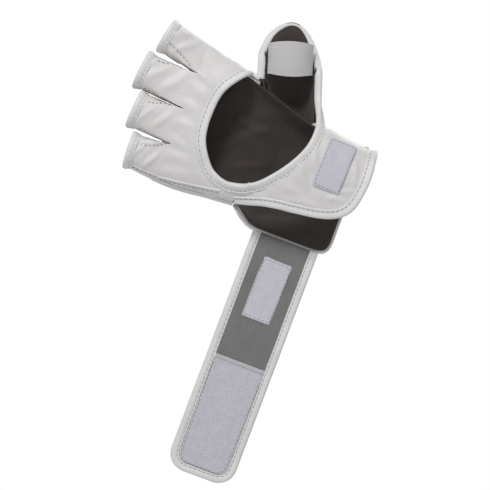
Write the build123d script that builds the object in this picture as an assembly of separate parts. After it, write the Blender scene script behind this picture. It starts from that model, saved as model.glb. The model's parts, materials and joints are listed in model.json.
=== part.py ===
from build123d import *
import math
import os

# Open-palm grappling glove for a right hand, in the shape it has on the hand, with its wrist
# strap hanging open. Millimetres. +X runs from the fingers to the elbow, +Z to the thumb side,
# and -Y is the palm. The origin is the middle of the wrist opening, where the hand goes in.

# ---- driving dimensions -------------------------------------------------------------------
LEATHER = 1.6            # leather sheet
COVER = 1.3              # leather over foam
LINING = 0.8             # lining cloth
BINDING_WIDTH = 5.5      # folded leather tape round an edge
BINDING_PROUD = 1.2      # how far the tape stands off the leather on each side
ROUNDNESS = 2.4          # superellipse exponent of the hand's cross-section
SEWN_GAP = 0.1           # between sewn neighbours

WEB_X = -134.0           # where the palm leather ends and the finger sleeves start
KNUCKLE_X = -141.5       # distal end of the knuckle pad
GROOVE_X = -112.0        # groove between the knuckle pad and the metacarpal pad
CUFF_X = -62.0           # groove between the metacarpal pad and the cuff
GROOVE = 2.0             # width of a groove
PALM_SEAM_X = -78.8      # seam between the palm leather and the wrist flap
CUFF_BACK_END_X = -4.0   # proximal end of the cuff at its back
PALM_END_X = 4.0         # proximal end of the cuff at its palm side

# x: centre z, half width, half width below on the back, palm depth, back depth, y under the back
STATIONS = [
    (-141.5, 15.5, 52.5, 52.5, 12.0, 26.0, 0.0),
    (-120.0, 12.5, 50.0, 50.0, 15.0, 27.0, 0.0),
    (-100.0, 11.0, 46.5, 46.5, 17.5, 26.0, 0.0),
    (-80.0, 9.0, 43.0, 43.0, 20.0, 25.0, 0.0),
    (-62.0, 6.5, 40.0, 51.0, 21.0, 24.5, 1.0),
    (-43.0, 3.5, 37.5, 53.0, 22.0, 24.0, 2.0),
    (-20.0, 2.5, 35.5, 53.0, 22.0, 23.5, 2.0),
    (4.0, 1.5, 34.0, 52.5, 21.0, 23.0, 2.0),
]
PAD_THICKNESS = [(-141.5, 14.0), (-112.0, 13.0), (-80.0, 9.0), (-62.0, 4.0), (4.0, 3.0)]
SIDE_THICKNESS = 2.6     # the pad thins to this at the hand's edges

# outlines seen from the palm, as (x, z)
HOLE_POINTS = [
    (-113.0, 2.0), (-115.0, 20.0), (-112.0, 39.0), (-99.0, 57.0), (-72.0, 68.0), (-44.0, 62.0),
    (-41.5, 42.0), (-44.0, 22.0), (-53.0, 4.0), (-68.0, -13.5), (-85.0, -21.0), (-102.0, -15.0),
]
FLAP_EDGE = [
    (-78.0, -31.0), (-56.0, -25.5), (-37.0, -23.0), (-20.0, -20.4), (-8.0, -16.0), (-0.5, -8.0),
    (2.6, 4.8), (3.4, 18.0), (2.0, 40.0),
]
BACK_EDGE = [
    (-78.0, -34.0), (-70.0, -39.0), (-62.0, -43.0), (-50.0, -43.6), (-35.0, -43.6), (-20.0, -43.6),
    (-9.0, -42.5), (-4.5, -37.0), (-4.0, -20.0), (-4.0, 0.0), (-4.0, 20.0), (-4.0, 45.0),
]

# name, hinge's z, splay in degrees towards the thumb, length, half width at the base and the rim
FINGERS = [
    ("index", 56.7, 11.6, 22.0, 11.6, 11.4),
    ("middle", 30.0, 6.0, 29.5, 12.3, 12.8),
    ("ring", 3.9, 4.0, 24.5, 12.2, 12.6),
    ("little", -21.9, -3.0, 18.0, 11.6, 12.0),
]
FINGER_HINGE = (-143.0, -1.0)    # x and y of every finger's hinge
FINGER_START = 1.5               # the sleeve starts this far past the hinge
FINGER_PAD_START = 3.4
FINGER_DEPTH = 12.0              # half depth of a sleeve
FINGER_PAD_TOP = 24.5            # outer face of a finger pad above the finger's middle
RIM_LENGTH = 4.0
RIM_PROUD = 0.8

THUMB_BASE = (-69.0, 2.0, 52.0)
THUMB_LEAN = 18.0                # the thumb leans this far towards the fingers
THUMB_WIDTH = 22.0               # outer half width of the guard
THUMB_DEPTH = 19.0               # outer depth of the guard at the thumb's back
THUMB_WALL = 5.6
THUMB_OUTLINE = [                # seen from the palm, as (x, z)
    (-91.5, 59.0), (-97.0, 73.0), (-98.0, 87.0), (-93.0, 98.0), (-82.0, 103.0), (-70.0, 97.5),
    (-60.0, 86.0), (-52.0, 70.0), (-46.5, 55.0), (-44.5, 47.0),
]
THUMB_LOOP = (15.0, 36.0)        # the elastic loop's two edges, along the thumb

STRAP_X = (-59.0, -11.0)
STRAP_END_Z = -221.0
STRAP_CORNER = 13.0
STRAP_Y = 8.6                    # the strap's inner face, on which it folds
STRAP_THICKNESS = 5.0
STRAP_LINING = 0.8
TAPE = 1.4                       # hook and loop tape
FOLD_LEAN = 8.0                  # the folds lean, so that the strap winds towards the elbow
FIRST_FOLD_Z = -45.4             # at the strap's finger-side edge
FOLD_GAP = 0.3
FOLD_FACING = [-91, -138, -180, -219, -258, -302]  # degrees from the back, one for each stretch
WRAP_CLEARANCE = [1.2, 1.2, 1.2, 1.4, 2.0, 2.6]    # between each closed stretch and the cuff
LOOP_TAPE_X = (-46.0, -24.0)
LOOP_TAPE_Z = (-104.5, -58.4)
HOOK_TAPE_X = (-55.5, -16.5)
HOOK_TAPE_Z = (-215.0, -135.0)


# ---- the hand's cross-section --------------------------------------------------------------
def at(table, x):
    """Row of a table at x, in a straight line between its rows."""
    for low, high in zip(table, table[1:]):
        if x <= high[0]:
            t = (x - low[0]) / (high[0] - low[0])
            return [a + (b - a) * t for a, b in zip(low[1:], high[1:])]
    return list(table[-1][1:])


def power(value, exponent):
    return math.copysign(abs(value) ** exponent, value)


def skin(x, angle, side=0.0, deep=0.0):
    """Point inside the glove's outer skin. Angle 0 is the back, 90 the thumb side, 180 the palm."""
    centre, half, half_low, palm, back, low_y = at(STATIONS, x)
    c, s = math.cos(math.radians(angle)), math.sin(math.radians(angle))
    cy, sz = power(c, 2 / ROUNDNESS), power(s, 2 / ROUNDNESS)
    if c < 0:
        return Vector(x, (palm - deep) * cy, centre + (half - side) * sz)
    if s >= 0:
        return Vector(x, (back - deep) * cy, centre + (half - side) * sz)
    return Vector(x, low_y + (back - deep - low_y) * cy, centre + (half_low - side) * sz)


def even(value):
    return lambda x: (value, value)


def padded(extra=0.0):
    """Inset of the pad's inner face, thick at the back and thin at the sides."""
    return lambda x: (SIDE_THICKNESS + extra, at(PAD_THICKNESS, x)[0] + extra)


def section(outer_points, inner_points):
    """Face between two curves that run side by side."""
    a, b = list(outer_points), list(inner_points)[::-1]
    return Face(Wire([Spline(*a), Line(a[-1], b[0]), Spline(*b), Line(b[-1], a[0])]))


def patch(low_x, high_x, angles, outer, inner, count=11):
    """Solid between two insets of the skin, over a range of x and of angle."""
    middle = sorted({row[0] for row in STATIONS + PAD_THICKNESS if low_x < row[0] < high_x})
    turn = [angles[0] + (angles[1] - angles[0]) * i / (count - 1) for i in range(count)]
    faces = []
    for x in [low_x] + middle + [high_x]:
        faces.append(section([skin(x, t, *outer(x)) for t in turn],
                             [skin(x, t, *inner(x)) for t in turn]))
    return loft(faces, ruled=True)


# ---- outlines seen from the palm ---------------------------------------------------------------
def moved(points, distance, closed=False):
    """The same path, moved to the left of its direction."""
    result = []
    last = len(points) - 1
    for i, (x, z) in enumerate(points):
        before = points[i - 1] if i or closed else points[0]
        after = points[(i + 1) % len(points)] if i < last or closed else points[last]
        dx, dz = after[0] - before[0], after[1] - before[1]
        length = math.hypot(dx, dz)
        result.append((x - dz / length * distance, z + dx / length * distance))
    return result


def loop_face(points):
    return make_face(Spline(*points, periodic=True))


def edge_face(points, corners):
    """Face bounded by a curved edge and by the straight run through corners, back to its start."""
    return make_face([Spline(*points), Polyline(points[-1], *corners, points[0])])


def strip_face(points, width):
    """Strip of an even width along the left of a curved edge."""
    inner = moved(points, width)[::-1]
    return make_face([Spline(*points), Line(points[-1], inner[0]), Spline(*inner),
                      Line(inner[-1], points[0])])


def column(outline, low_y, high_y):
    """Solid with an outline drawn in x and z, from low_y to high_y."""
    plane = Plane(origin=(0, high_y, 0), x_dir=(1, 0, 0), z_dir=(0, -1, 0))
    return extrude(plane * outline, amount=high_y - low_y)


# ---- palm side ------------------------------------------------------------------------------
def palm_hole(grow):
    return column(loop_face(moved(HOLE_POINTS, grow, closed=True)), -60, 9)


def inside_flap_edge(inset):
    corners = [(2, 90), (-160, 90), (-160, -60), (-78, -60)]
    return column(edge_face(moved(FLAP_EDGE, inset), corners), -60, 60)


def palm_layer(low_x, high_x, angles, outer, inner):
    sheet = patch(low_x, high_x, angles, even(outer), even(inner))
    return (sheet & inside_flap_edge(BINDING_WIDTH)) - palm_hole(BINDING_WIDTH)


def palm_side():
    band = (92, 268)
    proud = patch(WEB_X, PALM_END_X, band, even(-BINDING_PROUD), even(LEATHER + LINING), 15)
    ring = palm_hole(BINDING_WIDTH - SEWN_GAP) - palm_hole(0)
    strip = column(strip_face(FLAP_EDGE, BINDING_WIDTH - SEWN_GAP), -60, 60)
    return {
        "palm_panel": palm_layer(WEB_X, PALM_SEAM_X - SEWN_GAP, (92, 250), 0, LEATHER),
        "ulnar_side_panel": patch(WEB_X, PALM_SEAM_X - SEWN_GAP, (251, 268), even(0), even(LEATHER)),
        "cuff_palm_flap": palm_layer(PALM_SEAM_X, PALM_END_X, band, 0, LEATHER + LINING),
        "palm_opening_binding": proud & ring,
        "cuff_flap_binding": (proud & strip) - palm_hole(BINDING_WIDTH),
        "cuff_loop_patch": patch(-32, -12, (112, 185), even(-TAPE), even(-SEWN_GAP)),
    }


# ---- back -----------------------------------------------------------------------------------
def inside_back_edge(inset):
    corners = [(-4, 90), (-160, 90), (-160, -60), (-78, -60)]
    return column(edge_face(moved(BACK_EDGE, inset), corners), -40, 60)


def back_side():
    cover, foam, under = even(0), even(COVER + SEWN_GAP), padded()
    band, pad = (-89, 89), (-72, 78)
    trim = inside_back_edge(BINDING_WIDTH)
    strip = column(strip_face(BACK_EDGE, BINDING_WIDTH - SEWN_GAP), 0, 60)
    edge = patch(-78, PALM_END_X, band, even(-BINDING_PROUD), padded(LINING))
    ends = (KNUCKLE_X, GROOVE_X), (GROOVE_X + GROOVE, CUFF_X - GROOVE), (CUFF_X, CUFF_BACK_END_X)
    return {
        "knuckle_cover": patch(*ends[0], band, cover, even(COVER)),
        "knuckle_foam": patch(*ends[0], pad, foam, under),
        "back_cover": patch(*ends[1], band, cover, even(COVER)) & trim,
        "back_foam": patch(*ends[1], pad, foam, under) & trim,
        "cuff_back_panel": patch(*ends[2], band, cover, under) & trim,
        "hand_lining": patch(KNUCKLE_X, CUFF_BACK_END_X, band, under, padded(LINING)) & trim,
        "cuff_back_binding": (edge & strip) - trim,
        "back_loop_panel": patch(-34, -10, (12, 74), even(-TAPE), even(-SEWN_GAP)),
    }


# ---- fingers --------------------------------------------------------------------------------
def arc(half, low, high, angles, count=11):
    """Points of an oval in a plane's own x and y; angle 0 is up, 90 is +x."""
    points = []
    for i in range(count):
        turn = math.radians(angles[0] + (angles[1] - angles[0]) * i / (count - 1))
        c, s = math.cos(turn), math.sin(turn)
        points.append((half * power(s, 0.9), (high if c > 0 else low) * power(c, 0.9)))
    return points


def finger_plane(hinge_z, splay, along):
    x, y = FINGER_HINGE
    out = Vector(-math.cos(math.radians(splay)), 0, math.sin(math.radians(splay)))
    across = Vector(math.sin(math.radians(splay)), 0, math.cos(math.radians(splay)))
    return Plane(origin=Vector(x, y, hinge_z) + out * along, x_dir=across, z_dir=out)


def finger(name, hinge_z, splay, length, base, rim):
    def half(along):
        return base + (rim - base) * along / length

    def tube(low, high, grow, wall):
        outer, inner = [], []
        for along in (low, high):
            plane = finger_plane(hinge_z, splay, along)
            outer.append(plane * Ellipse(half(along) + grow, FINGER_DEPTH + grow))
            inner.append(plane * Ellipse(half(along) + grow - wall, FINGER_DEPTH + grow - wall))
        return loft(outer) - loft(inner)

    def pad(inset):
        faces = []
        for along in (FINGER_PAD_START, length - RIM_LENGTH):
            to_world = finger_plane(hinge_z, splay, along).from_local_coords
            over = arc(half(along) + 0.2 - inset, 0, FINGER_PAD_TOP - inset, (-78, 78))
            over = [to_world(Vector(*p)) for p in over]
            faces.append(Face(Wire([Spline(*over), Line(over[-1], over[0])])))
        return loft(faces)

    sleeve = tube(FINGER_START, length - RIM_LENGTH, 0, LEATHER)
    body = loft([finger_plane(hinge_z, splay, a) * Ellipse(half(a) + 0.1, FINGER_DEPTH + 0.1)
                 for a in (FINGER_START, length - RIM_LENGTH)])
    foam = pad(COVER) - body
    return {
        name + "_sleeve": sleeve,
        name + "_pad_cover": pad(0) - body - pad(COVER),
        name + "_pad_foam": foam,
        name + "_rim": tube(length - RIM_LENGTH + SEWN_GAP, length, RIM_PROUD, 3.0),
    }


# ---- thumb ----------------------------------------------------------------------------------
def thumb_plane(along):
    lean = math.radians(THUMB_LEAN)
    out = Vector(-math.sin(lean), 0, math.cos(lean))
    across = Vector(math.cos(lean), 0, math.sin(lean))
    return Plane(origin=Vector(*THUMB_BASE) + out * along, x_dir=across, z_dir=out)


def thumb_shell(outer, inner, angles, low=-16, high=60):
    faces = []
    for along in (low, high):
        to_world = thumb_plane(along).from_local_coords
        over = arc(THUMB_WIDTH - outer, 10, THUMB_DEPTH - outer, angles)
        under = arc(THUMB_WIDTH - inner, 10, THUMB_DEPTH - inner, angles)
        faces.append(section([to_world(Vector(*p)) for p in over],
                             [to_world(Vector(*p)) for p in under]))
    return loft(faces)


def thumb():
    lean = math.radians(THUMB_LEAN)
    short = [(x + BINDING_WIDTH * math.sin(lean), z - BINDING_WIDTH * math.cos(lean))
             for x, z in THUMB_OUTLINE]
    outline = column(edge_face(THUMB_OUTLINE, []), -40, 60)
    core = outline & column(edge_face(short, []), -40, 60)
    lining_outer, edge_inner = THUMB_WALL - LINING, THUMB_WALL + 0.6
    wall = (-82, 82)
    binding = thumb_shell(-1.0, edge_inner, (-83, 83)) - core
    for edge in ((-93, -82), (82, 93)):
        binding += thumb_shell(-1.0, edge_inner, edge)
    loop = []
    for along in THUMB_LOOP:
        to_world = thumb_plane(along).from_local_coords
        over, under = arc(15.7, 13.0, 10, (80, 280)), arc(14.3, 11.6, 9, (80, 280))
        loop.append(section([to_world(Vector(*p)) for p in over],
                            [to_world(Vector(*p)) for p in under]))
    return {
        "thumb_guard_cover": thumb_shell(0, COVER, wall) & core,
        "thumb_guard_foam": thumb_shell(COVER, lining_outer, wall) & core,
        "thumb_guard_lining": thumb_shell(lining_outer, THUMB_WALL, wall) & core,
        "thumb_guard_binding": binding & outline,
        "thumb_elastic_loop": loft(loop),
    }


# ---- strap ----------------------------------------------------------------------------------
LEAN = math.radians(FOLD_LEAN)


def fold_level(x, z):
    """Distance of a point from the first fold's family of lines, measured square to them."""
    return x * math.sin(LEAN) + z * math.cos(LEAN)


def support(facing, clearance):
    """How far the cuff reaches in a direction square to the folds."""
    c, s = math.cos(math.radians(facing)), math.sin(math.radians(facing))
    reach = -1e9
    for x in range(-62, 5, 6):
        for angle in range(-60, 244, 4):
            point = skin(x, angle, -TAPE, -TAPE)
            reach = max(reach, point.Y * c + fold_level(x, point.Z) * s)
    return reach + clearance


def fold_plan():
    """Length and turn of each stretch of the strap, for it to close round the cuff."""
    corner = (STRAP_Y, fold_level(STRAP_X[0], FIRST_FOLD_Z))
    turns = [-FOLD_FACING[0]] + [a - b for a, b in zip(FOLD_FACING, FOLD_FACING[1:])]
    lengths = []
    for facing, after, gap in zip(FOLD_FACING, FOLD_FACING[1:], WRAP_CLEARANCE[1:]):
        c1, s1 = math.cos(math.radians(facing)), math.sin(math.radians(facing))
        c2, s2 = math.cos(math.radians(after)), math.sin(math.radians(after))
        h1, h2 = corner[0] * c1 + corner[1] * s1, support(after, gap)
        det = c1 * s2 - c2 * s1
        crossing = ((h1 * s2 - h2 * s1) / det, (c1 * h2 - c2 * h1) / det)
        lengths.append(math.hypot(crossing[0] - corner[0], crossing[1] - corner[1]))
        corner = crossing
    return lengths, turns


def fold_z(level):
    """z at x = 0 of the fold line at a level."""
    return level / math.cos(LEAN)


def stretch_outline(level_high, level_low):
    """Part of the plane between two fold lines, as a face in x and z."""
    high, low = fold_z(level_high), fold_z(level_low)
    slope = -math.tan(LEAN)
    left, right = -120, 60
    return make_face(Polyline((left, high + slope * left), (right, high + slope * right),
                              (right, low + slope * right), (left, low + slope * left), close=True))


def rounded_end(inset):
    """The whole strap seen from the palm, drawn in by inset."""
    left, right = STRAP_X[0] + inset, STRAP_X[1] - inset
    low, corner = STRAP_END_Z + inset, STRAP_CORNER - inset
    outline = Rectangle(right - left, 200)
    outline = fillet(outline.vertices().group_by(Axis.Y)[0], corner)
    return Pos((left + right) / 2, low + 100) * outline


def box_face(x_range, z_range):
    width, height = x_range[1] - x_range[0], z_range[1] - z_range[0]
    return Pos(sum(x_range) / 2, sum(z_range) / 2) * Rectangle(width, height)


def strap():
    back_y = STRAP_Y + STRAP_THICKNESS
    face_y = STRAP_Y + TAPE
    middle_y = face_y + STRAP_LINING
    lengths, turns = fold_plan()
    top = fold_level(STRAP_X[0], FIRST_FOLD_Z)
    levels = [top]
    for length in lengths:
        levels.append(levels[-1] - length)
    levels.append(fold_level(60, STRAP_END_Z - 60))
    hem = box_face((-59, -11), (-60, -44.6))
    root = column(hem, STRAP_Y, back_y) & column(stretch_outline(top + 30, top), 0, 40)
    nodes = {"root": {"strap_root": root}}
    tapes = {"loop": (LOOP_TAPE_X, LOOP_TAPE_Z), "hook": (HOOK_TAPE_X, HOOK_TAPE_Z)}
    for i in range(len(turns)):
        name = "strap_%d" % (i + 1)
        piece = stretch_outline(levels[i] - FOLD_GAP, levels[i + 1])
        inner = rounded_end(BINDING_WIDTH) & piece
        edge = (rounded_end(0) & piece) - rounded_end(BINDING_WIDTH - SEWN_GAP)
        solids = {
            name + "_leather": column(inner, middle_y, back_y),
            name + "_lining": column(inner, face_y, middle_y),
            name + "_binding": column(edge, STRAP_Y, back_y),
        }
        for kind, (x_range, z_range) in tapes.items():
            tape = box_face(x_range, z_range) & inner
            if tape and tape.area > 60:
                solids["%s_%s_tape" % (name, kind)] = column(tape, STRAP_Y, face_y)
        nodes[name] = solids
    return nodes


# ---- assembly -------------------------------------------------------------------------------
def bodies():
    """Every solid, grouped by the body that it moves with."""
    groups = {"hand": {**palm_side(), **back_side()}}
    for row in FINGERS:
        groups[row[0]] = finger(*row)
    groups["thumb"] = thumb()
    strap_groups = strap()
    groups["hand"].update(strap_groups.pop("root"))
    groups.update(strap_groups)
    return groups


if __name__ == "__main__":
    os.makedirs("parts", exist_ok=True)
    for group in bodies().values():
        for name, solid in group.items():
            export_step(solid, "parts/%s.step" % name)
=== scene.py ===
"""Open-palm grappling glove: the visual model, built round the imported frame.

Lengths are worked out in millimetres and scaled to metres as each mesh is made.
+X runs to the elbow, +Z to the thumb side, -Y is the palm.
"""
import json
import math
from collections import namedtuple

import bmesh
import bpy
import numpy as np
from mathutils import Matrix, Vector


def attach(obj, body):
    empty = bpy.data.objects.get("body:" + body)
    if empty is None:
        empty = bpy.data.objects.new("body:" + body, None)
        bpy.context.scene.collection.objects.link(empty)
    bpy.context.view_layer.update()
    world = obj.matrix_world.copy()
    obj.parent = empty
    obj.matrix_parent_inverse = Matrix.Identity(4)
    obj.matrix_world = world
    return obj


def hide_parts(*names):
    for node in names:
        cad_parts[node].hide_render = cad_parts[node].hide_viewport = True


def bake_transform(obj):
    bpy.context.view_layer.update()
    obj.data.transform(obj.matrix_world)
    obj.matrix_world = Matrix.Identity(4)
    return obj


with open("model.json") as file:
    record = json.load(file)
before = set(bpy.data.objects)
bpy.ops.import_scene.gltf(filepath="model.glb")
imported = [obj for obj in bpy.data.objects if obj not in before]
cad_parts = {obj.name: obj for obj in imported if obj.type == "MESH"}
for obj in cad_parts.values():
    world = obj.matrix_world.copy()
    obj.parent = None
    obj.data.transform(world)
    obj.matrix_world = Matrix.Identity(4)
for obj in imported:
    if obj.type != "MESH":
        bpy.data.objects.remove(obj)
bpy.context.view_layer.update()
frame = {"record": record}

MM = 0.001
RNG = np.random.default_rng(7)

# ---- the hand's envelope, as in the CAD model --------------------------------------------
# x, middle z, half width above it, half width below it on the back, depth of the palm, depth of
# the back, y of the back's lower edge
STATIONS = np.array([
    (-141.5, 15.5, 52.5, 52.5, 12.0, 26.0, 0.0),
    (-120.0, 12.5, 50.0, 50.0, 15.0, 27.0, 0.0),
    (-100.0, 11.0, 46.5, 46.5, 17.5, 26.0, 0.0),
    (-80.0, 9.0, 43.0, 43.0, 20.0, 25.0, 0.0),
    (-62.0, 6.5, 40.0, 51.0, 21.0, 24.5, 1.0),
    (-43.0, 3.5, 37.5, 53.0, 22.0, 24.0, 2.0),
    (-20.0, 2.5, 35.5, 53.0, 22.0, 23.5, 2.0),
    (4.0, 1.5, 34.0, 52.5, 21.0, 23.0, 2.0),
])
ROUNDNESS = 2.4
PAD_X = [-141.5, -112.0, -80.0, -62.0, 4.0]
PAD_DEEP = [14.0, 13.0, 9.0, 4.0, 3.0]
HOLE = [
    (-113.0, 2.0), (-115.0, 20.0), (-112.0, 39.0), (-99.0, 57.0), (-72.0, 68.0), (-44.0, 62.0),
    (-41.5, 42.0), (-44.0, 22.0), (-53.0, 4.0), (-67.0, -12.8), (-77.0, -18.7), (-87.0, -20.7),
    (-96.0, -18.6), (-104.0, -12.8),
]
FLAP_EDGE = [
    (-78.0, -31.0), (-56.0, -25.5), (-37.0, -23.0), (-20.0, -20.4), (-8.0, -16.0), (-0.5, -8.0),
    (2.6, 4.8), (3.4, 18.0), (2.0, 36.0),
]
BACK_EDGE = [
    (-78.0, -33.0), (-70.0, -39.0), (-62.0, -43.0), (-50.0, -43.6), (-35.0, -43.6), (-20.0, -43.6),
    (-9.0, -42.5), (-4.5, -37.0), (-4.0, -20.0), (-4.0, 0.0), (-4.0, 20.0), (-4.0, 38.0),
]
Finger = namedtuple("Finger", "hinge_z splay length base_half rim_half web_low web_high")
FINGERS = {
    "index": Finger(56.7, 11.6, 22.0, 11.8, 11.4, 43.2, 68.8),
    "middle": Finger(30.0, 6.0, 29.5, 12.5, 12.8, 16.9, 43.2),
    "ring": Finger(3.9, 4.0, 24.5, 12.4, 12.8, -9.3, 16.9),
    "little": Finger(-21.9, -3.0, 18.0, 11.8, 12.0, -37.0, -9.3),
}
HINGE_X, HINGE_Y = -143.0, -1.0
WEB_X = -134.0
SLEEVE_DEPTH = 12.0
PALM_THICK, PANEL_THICK, LINING_THICK, ELASTIC_THICK = 1.3, 1.2, 0.7, 1.3
EDGE_INSET = 1.5    # leather stops this far short of an edge, under the tape that binds it
EDGE_UNDER = 1.4    # how far the tape reaches under the leather
GUARD_UNDER = 3.6   # the same, on the padded guard


def cubic(xs, ys, x):
    """Smooth curve through a table (monotone cubic Hermite)."""
    xs, ys, x = np.asarray(xs, float), np.asarray(ys, float), np.asarray(x, float)
    h, delta = np.diff(xs), np.diff(ys) / np.diff(xs)
    m = np.empty_like(ys)
    m[0], m[-1] = delta[0], delta[-1]
    same = delta[:-1] * delta[1:] > 0
    w1, w2 = 2 * h[1:] + h[:-1], h[1:] + 2 * h[:-1]
    with np.errstate(divide="ignore", invalid="ignore"):
        mean = (w1 + w2) / (w1 / delta[:-1] + w2 / delta[1:])
    m[1:-1] = np.where(same, mean, 0.0)
    i = np.clip(np.searchsorted(xs, x) - 1, 0, len(xs) - 2)
    t = np.clip((x - xs[i]) / h[i], 0, 1)
    a, b = (1 + 2 * t) * (1 - t) ** 2, t * (1 - t) ** 2
    c, d = t * t * (3 - 2 * t), t * t * (t - 1)
    return a * ys[i] + b * h[i] * m[i] + c * ys[i + 1] + d * h[i] * m[i + 1]


def row(x):
    return [cubic(STATIONS[:, 0], STATIONS[:, k], x) for k in range(1, 7)]


def sin_cos(degrees):
    turn = np.radians(degrees)
    return np.sin(turn), np.cos(turn)


def lattice(rows, columns):
    """Two grids with the row and the column value at each point."""
    return np.meshgrid(rows, columns, indexing="ij")


def spow(v, e):
    """A power that keeps the sign."""
    return np.sign(v) * np.abs(v) ** e


def skin(x, angle, side=0.0, deep=0.0):
    """Points at a depth inside the hand's envelope; angle 0 is the back, 90 the thumb, 180 the palm."""
    x, angle = np.broadcast_arrays(np.asarray(x, float), np.asarray(angle, float))
    centre, half, low, palm, back, low_y = row(x)
    s, c = sin_cos(angle)
    cy, sz = spow(c, 2 / ROUNDNESS), spow(s, 2 / ROUNDNESS)
    is_palm, is_low = c < 0, (c >= 0) & (s < 0)
    y = np.where(is_palm, (palm - deep) * cy, (back - deep) * cy)
    y = np.where(is_low, low_y + (back - deep - low_y) * cy, y)
    z = centre + np.where(is_low, low - side, half - side) * sz
    return np.stack([x, y, z], -1)


# ---- curves ---------------------------------------------------------------------------------
def smooth_path(points, step=1.0, closed=False):
    """Catmull-Rom curve through points, resampled at an even step."""
    p = np.asarray(points, float)
    if closed:
        p = np.vstack([p[-1], p, p[0], p[1]])
    else:
        p = np.vstack([2 * p[0] - p[1], p, 2 * p[-1] - p[-2]])
    out = []
    for i in range(1, len(p) - 2):
        t = np.linspace(0, 1, 24, endpoint=False)[:, None]
        a, b, c, d = p[i - 1], p[i], p[i + 1], p[i + 2]
        out.append(0.5 * (2 * b + (c - a) * t + (2 * a - 5 * b + 4 * c - d) * t ** 2
                          + (3 * b - a - 3 * c + d) * t ** 3))
    out.append(p[-2][None])
    return resample(np.vstack(out), step)


def arc_length(path):
    """Distance along a path at each of its points."""
    return np.concatenate([[0], np.cumsum(np.linalg.norm(np.diff(path, axis=0), axis=1))])


def resample(path, step):
    """The same path with its points at an even step."""
    s = arc_length(path)
    n = max(2, int(round(s[-1] / step)) + 1)
    want = np.linspace(0, s[-1], n)
    return np.stack([np.interp(want, s, path[:, k]) for k in range(path.shape[1])], -1)


def signed_distance(points, polygon):
    """Distance of 2-D points to a closed polygon, negative inside."""
    a, b = polygon, np.roll(polygon, -1, axis=0)
    best = np.full(len(points), 1e9)
    inside = np.zeros(len(points), bool)
    for p, q in zip(a, b):
        e = q - p
        w = points - p
        t = np.clip(w @ e / max(e @ e, 1e-12), 0, 1)
        best = np.minimum(best, np.hypot(*(w - t[:, None] * e).T))
        crosses = (p[1] > points[:, 1]) != (q[1] > points[:, 1])
        if abs(q[1] - p[1]) > 1e-12:
            inside ^= crosses & (points[:, 0] < p[0] + (points[:, 1] - p[1]) * e[0] / e[1])
    return np.where(inside, -best, best)


def tangents(path, closed=False):
    if closed:
        t = np.roll(path, -1, axis=0) - np.roll(path, 1, axis=0)
    else:
        t = np.gradient(path, axis=0)
    return t / np.maximum(np.linalg.norm(t, axis=1, keepdims=True), 1e-9)


def unit(v):
    return v / np.maximum(np.linalg.norm(v, axis=-1, keepdims=True), 1e-9)


def square_to(normal, t):
    """Normals turned until they are square to the directions t."""
    return unit(normal - (normal * t).sum(1, keepdims=True) * t)


# ---- meshes ---------------------------------------------------------------------------------
class Mesh:
    """Vertices in millimetres and faces, each with a material number."""

    def __init__(self):
        self.verts, self.faces, self.mats, self.count = [], [], [], 0

    def add(self, verts, faces, mat=0):
        verts = np.asarray(verts, float).reshape(-1, 3)
        self.verts.append(verts)
        for k, f in enumerate(faces):
            self.faces.append([v + self.count for v in f])
            self.mats.append(mat if np.isscalar(mat) else mat[k])
        self.count += len(verts)
        return self

    def sheet(self, points, wrap_m=False):
        """Adds a grid of points as one sheet."""
        return self.add(points, grid(*points.shape[:2], wrap_m=wrap_m))

    def make(self, name, materials, weld=False):
        mesh = bpy.data.meshes.new(name)
        mesh.from_pydata((np.vstack(self.verts) * MM).tolist(), [], self.faces)
        for m in materials:
            mesh.materials.append(m)
        mesh.polygons.foreach_set("material_index", self.mats)
        obj = bpy.data.objects.new(name, mesh)
        bpy.context.scene.collection.objects.link(obj)
        bm = bmesh.new()
        bm.from_mesh(mesh)
        if weld:
            bmesh.ops.remove_doubles(bm, verts=bm.verts, dist=0.02 * MM)
        bmesh.ops.recalc_face_normals(bm, faces=bm.faces)
        bm.to_mesh(mesh)
        bm.free()
        mesh.polygons.foreach_set("use_smooth", [True] * len(mesh.polygons))
        return obj


def grid(n, m, wrap_n=False, wrap_m=False):
    """Faces of an n by m grid of vertices, row by row."""
    faces = []
    for i in range(n if wrap_n else n - 1):
        for j in range(m if wrap_m else m - 1):
            a, b = i * m + j, i * m + (j + 1) % m
            k = ((i + 1) % n) * m
            faces.append((a, b, k + (j + 1) % m, k + j))
    return faces


def sheet_of(points):
    """Vertices and faces of a grid of points."""
    return points.reshape(-1, 3), grid(*points.shape[:2])


def clip(verts, faces, field):
    """The part of a mesh where the field is above 0, cut cleanly along its edge."""
    verts = [tuple(v) for v in verts]
    field = list(field)
    cache, out = {}, []

    def cut(a, b):
        key = (min(a, b), max(a, b))
        if key not in cache:
            t = field[a] / (field[a] - field[b])
            cache[key] = len(verts)
            verts.append(tuple(p + (q - p) * t for p, q in zip(verts[a], verts[b])))
            field.append(0.0)
        return cache[key]

    for face in faces:
        keep = []
        for a, b in zip(face, list(face[1:]) + [face[0]]):
            if field[a] > 0:
                keep.append(a)
            if (field[a] > 0) != (field[b] > 0):
                keep.append(cut(a, b))
        if len(keep) > 2:
            out.append(keep)
    used = sorted({v for f in out for v in f})
    index = {v: i for i, v in enumerate(used)}
    return np.array([verts[v] for v in used]).reshape(-1, 3), [[index[v] for v in f] for f in out]


SHARP_ANGLE = math.radians(50)


def solidify(obj, thickness):
    """Gives a sheet its thickness, inwards, with the inner face in another material."""
    mod = obj.modifiers.new("thick", "SOLIDIFY")
    mod.thickness, mod.offset = thickness * MM, -1
    mod.material_offset, mod.material_offset_rim = 1, 0
    mod.use_quality_normals = True
    apply_modifiers(obj)
    obj.data.set_sharp_from_angle(angle=SHARP_ANGLE)
    return obj


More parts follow.
